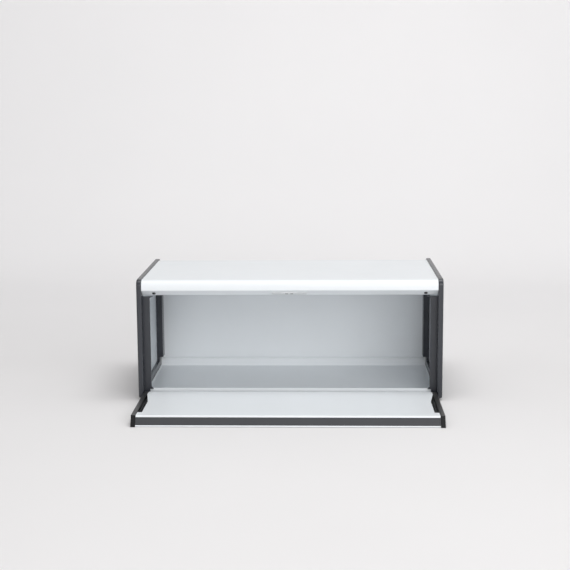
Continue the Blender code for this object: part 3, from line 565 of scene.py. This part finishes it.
class BREADBOX_OT_side_panels(bpy.types.Operator):
    """Finish the dark side panels"""

    bl_idname = "bread_box.side_panels"
    bl_label = "Side panels"

    def execute(self, context):
        """Dress both side panels."""
        for node in cad_nodes(*both_sides("side_panel")):
            dress(node, material_named("side_plastic"), finishes().edge_round)
        return {"FINISHED"}


class BREADBOX_OT_side_liners(bpy.types.Operator):
    """Coat the sheets in the sides' pockets"""

    bl_idname = "bread_box.side_liners"
    bl_label = "Side liners"

    def execute(self, context):
        """Dress both side liners."""
        # The liner's finish carries partly painted shade of the pockets in its grey.
        for node in cad_nodes(*both_sides("side_liner")):
            dress(node, material_named("liner_coat_and_shade"))
        return {"FINISHED"}


class BREADBOX_OT_floor_pan(bpy.types.Operator):
    """Coat the floor pan"""

    bl_idname = "bread_box.floor_pan"
    bl_label = "Floor pan"

    def execute(self, context):
        """Dress the floor pan."""
        for node in cad_nodes("floor_pan"):
            dress(node, material_named("white_powder_coat"), finishes().edge_round)
        return {"FINISHED"}


class BREADBOX_OT_rubber(bpy.types.Operator):
    """Finish the rubber feet and the bumpers of the lip"""

    bl_idname = "bread_box.rubber"
    bl_label = "Feet and bumpers"

    def execute(self, context):
        """Dress the four feet and the two bumpers."""
        names = both_sides("foot_front") + both_sides("foot_rear") + both_sides("lip_bumper")
        for node in cad_nodes(*names):
            dress(node, material_named("foot_rubber"), finishes().edge_round)
        return {"FINISHED"}


class BREADBOX_OT_hinges(bpy.types.Operator):
    """Finish the hinge pins and their bushes"""

    bl_idname = "bread_box.hinges"
    bl_label = "Hinges"

    def execute(self, context):
        """Dress pins and bushes."""
        for node in cad_nodes(*both_sides("hinge_pin")):
            dress(node, material_named("plated_steel"), finishes().edge_round)
        for node in cad_nodes(*both_sides("hinge_bush")):
            dress(node, material_named("bush_nylon"), finishes().edge_round)
        return {"FINISHED"}


class BREADBOX_OT_catch(bpy.types.Operator):
    """Finish the magnetic catch"""

    bl_idname = "bread_box.catch"
    bl_label = "Catch"

    def execute(self, context):
        """Dress the holder and its magnets."""
        for node in cad_nodes("catch_holder"):
            dress(node, material_named("holder_plastic"), finishes().edge_round)
        for node in cad_nodes(*both_sides("catch_magnet")):
            dress(node, material_named("magnet_steel"), finishes().edge_round / 2)
        return {"FINISHED"}


class BREADBOX_OT_screws(bpy.types.Operator):
    """Finish the screws of the back and of the door"""

    bl_idname = "bread_box.screws"
    bl_label = "Screws"

    def execute(self, context):
        """Dress every screw."""
        names = both_sides("back_screw_low") + both_sides("back_screw_high") + both_sides("door_screw")
        for node in cad_nodes(*names):
            dress(node, material_named("plated_steel"), finishes().edge_round / 2)
        return {"FINISHED"}


class BREADBOX_OT_door_sheets(bpy.types.Operator):
    """Coat the outer skin and the inner panel of the door"""

    bl_idname = "bread_box.door_sheets"
    bl_label = "Door sheets"

    def execute(self, context):
        """Dress the two sheets of the door."""
        for node in cad_nodes("door_skin", "door_inner_panel"):
            dress(node, material_named("white_powder_coat"), finishes().edge_round)
        return {"FINISHED"}


class BREADBOX_OT_door_trim(bpy.types.Operator):
    """Finish the door's end caps and grip strip"""

    bl_idname = "bread_box.door_trim"
    bl_label = "Door caps and grip"

    def execute(self, context):
        """Dress caps and grip."""
        for node in cad_nodes(*both_sides("door_cap")):
            dress(node, material_named("cap_plastic"), finishes().edge_round * 2, segments=3)
        for node in cad_nodes("door_grip_strip"):
            dress(node, material_named("grip_plastic"), finishes().edge_round)
        return {"FINISHED"}


def stage_material(colour, glow):
    """Matt pale paint with a faint mottle; the backdrop looks lighter to the camera."""
    made, tree, shader = start_material("pale_stage")
    place = add_node(tree, "ShaderNodeTexCoord", -700, 0)
    mottle = noise(tree, place.outputs["Object"], -500, 0, 3.0, 2.0, 0.5)
    gain = ramp(tree, mottle.outputs["Fac"], -250, 0, 0.3, 0.7, 0.0, 1.0)
    darker = tuple(value * MOTTLE_SHADE for value in colour)
    tone = mix_colour(tree, 0, 0, gain.outputs[0], (*colour, 1), (*darker, 1))
    join(tree, tone, shader.inputs["Base Color"])
    shader.inputs["Roughness"].default_value = 0.9
    shader.inputs["Specular IOR Level"].default_value = 0.2
    split = add_node(tree, "ShaderNodeSeparateXYZ", -500, -300)
    join(tree, place.outputs["Object"], split.inputs[0])
    behind = ramp(tree, split.outputs["Y"], -250, -300, GLOW_START_Y, GLOW_FULL_Y, 0.0, glow)
    ray = add_node(tree, "ShaderNodeLightPath", -250, -600)
    seen = maths(tree, "MULTIPLY", 0, -400, behind.outputs[0], ray.outputs["Is Camera Ray"])
    shader.inputs["Emission Color"].default_value = GLOW_COLOUR
    join(tree, seen.outputs[0], shader.inputs["Emission Strength"])
    return made


def frame_rear():
    """The box's rearmost place along Y."""
    return CAD_BOX[1][1]


def build_stage_mesh(values):
    """Floor that curves up into a backdrop, as one strip of faces."""
    half = values.floor_size
    rear = frame_rear() + values.wall_distance
    curve = values.wall_distance / 2
    profile = [(-half, 0.0)]
    for step in range(CURVE_STEPS + 1):
        angle = math.pi / 2 * step / CURVE_STEPS
        profile.append((rear - curve + curve * math.sin(angle), curve - curve * math.cos(angle)))
    profile.append((rear, half))
    corners = []
    for y, z in profile:
        corners.append((-half, y, z))
        corners.append((half, y, z))
    faces = [(2 * i, 2 * i + 1, 2 * i + 3, 2 * i + 2) for i in range(len(profile) - 1)]
    mesh = bpy.data.meshes.new("stage_floor")
    mesh.from_pydata(corners, [], faces)
    mesh.shade_smooth()
    return mesh


def add_lamp(name, power, size, place):
    """White area lamp of a width and height that faces the box."""
    lamp = bpy.data.lights.new(name, "AREA")
    lamp.energy = power
    lamp.shape = "RECTANGLE"
    lamp.size, lamp.size_y = size
    holder = bpy.data.objects.new(name, lamp)
    bpy.context.scene.collection.objects.link(holder)
    holder.location = place
    aim = Vector(LAMP_TARGET) - Vector(place)
    holder.rotation_euler = aim.to_track_quat("-Z", "Y").to_euler()


def light_world(strength):
    """Even white surroundings, which the camera sees at the backdrop's own level."""
    world = bpy.data.worlds.new("studio_surround")
    bpy.context.scene.world = world
    world.use_nodes = True
    tree = world.node_tree
    background = tree.nodes["Background"]
    background.inputs["Color"].default_value = (1.0, 1.0, 1.0, 1)
    ray = add_node(tree, "ShaderNodeLightPath", -500, 0)
    level = ramp(tree, ray.outputs["Is Camera Ray"], -250, 0, 0.0, 1.0, strength, BACKGROUND_LEVEL)
    join(tree, level.outputs[0], background.inputs["Strength"])


def place_camera(values):
    """Camera at the photograph's viewing angle, from the fitted angles and place."""
    camera = bpy.data.cameras.new("studio_camera")
    camera.sensor_width = SENSOR_WIDTH
    camera.sensor_fit = "HORIZONTAL"
    camera.lens = values.lens
    camera.shift_x = CAMERA_SHIFT_X
    camera.shift_y = CAMERA_SHIFT_Y
    camera.clip_end = CAMERA_CLIP_END
    holder = bpy.data.objects.new("studio_camera", camera)
    bpy.context.scene.collection.objects.link(holder)
    cos_yaw, sin_yaw = math.cos(CAMERA_YAW), math.sin(CAMERA_YAW)
    cos_pitch, sin_pitch = math.cos(CAMERA_PITCH), math.sin(CAMERA_PITCH)
    cos_roll, sin_roll = math.cos(CAMERA_ROLL), math.sin(CAMERA_ROLL)
    base = Matrix(((1, 0, 0), (0, 0, -1), (0, 1, 0)))
    turn = Matrix(((cos_yaw, sin_yaw, 0), (-sin_yaw, cos_yaw, 0), (0, 0, 1)))
    tilt = Matrix(((1, 0, 0), (0, cos_pitch, -sin_pitch), (0, sin_pitch, cos_pitch)))
    bank = Matrix(((cos_roll, -sin_roll, 0), (sin_roll, cos_roll, 0), (0, 0, 1)))
    seen = bank @ tilt @ base @ turn
    right, down, forward = seen[0], seen[1], seen[2]
    axes = Matrix((right, -down, -forward)).transposed()
    box_front = frame_rear() - BOX_DEPTH
    place = Vector((CAMERA_X, box_front - CAMERA_DISTANCE, CAMERA_HEIGHT))
    holder.matrix_world = Matrix.Translation(place) @ axes.to_4x4()
    bpy.context.scene.camera = holder


class BREADBOX_OT_stage(bpy.types.Operator):
    """Add the pale floor, the soft lights and the camera"""

    bl_idname = "bread_box.stage"
    bl_label = "Stage"

    def execute(self, context):
        """Build the stage from its values."""
        values = context.scene.bread_box_stage
        floor = bpy.data.objects.new("stage_floor", build_stage_mesh(values))
        context.scene.collection.objects.link(floor)
        floor.data.materials.append(stage_material(tuple(values.floor_colour), values.backdrop_glow))
        light_world(values.sky_strength)
        add_lamp("top_lamp", values.top_power, TOP_LAMP_SIZE, TOP_LAMP_PLACE)
        add_lamp("key_lamp", values.key_power, KEY_LAMP_SIZE, KEY_LAMP_PLACE)
        add_lamp("fill_lamp", values.fill_power, FILL_LAMP_SIZE, FILL_LAMP_PLACE)
        place_camera(values)
        context.scene.view_settings.view_transform = "Standard"
        return {"FINISHED"}


class BREADBOX_PT_panel(bpy.types.Panel):
    """Sidebar panel with the values and the steps"""

    bl_idname = "BREADBOX_PT_panel"
    bl_label = "Bread Box"
    bl_space_type = "VIEW_3D"
    bl_region_type = "UI"
    bl_category = TAB_NAME

    def draw(self, context):
        """List values, then one button for each step."""
        for group in (context.scene.bread_box_finishes, context.scene.bread_box_stage):
            box = self.layout.box()
            for name in group.__annotations__:
                box.prop(group, name)
        for step in STEPS:
            self.layout.operator(step.bl_idname)


STEPS = (
    BREADBOX_OT_finishes,
    BREADBOX_OT_casing,
    BREADBOX_OT_side_panels,
    BREADBOX_OT_side_liners,
    BREADBOX_OT_floor_pan,
    BREADBOX_OT_rubber,
    BREADBOX_OT_hinges,
    BREADBOX_OT_catch,
    BREADBOX_OT_screws,
    BREADBOX_OT_door_sheets,
    BREADBOX_OT_door_trim,
    BREADBOX_OT_stage,
)
CLASSES = (BreadBoxFinishes, BreadBoxStage) + STEPS + (BREADBOX_PT_panel,)


def register():
    """Register the classes and the scene's values."""
    for one in CLASSES:
        bpy.utils.register_class(one)
    bpy.types.Scene.bread_box_finishes = bpy.props.PointerProperty(type=BreadBoxFinishes)
    bpy.types.Scene.bread_box_stage = bpy.props.PointerProperty(type=BreadBoxStage)


def unregister():
    """Take the values and the classes away again."""
    del bpy.types.Scene.bread_box_stage
    del bpy.types.Scene.bread_box_finishes
    for one in reversed(CLASSES):
        bpy.utils.unregister_class(one)


def main():
    """Register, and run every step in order."""
    register()
    for step in STEPS:
        group, name = step.bl_idname.split(".")
        getattr(getattr(bpy.ops, group), name)()


if __name__ == "__main__":
    main()
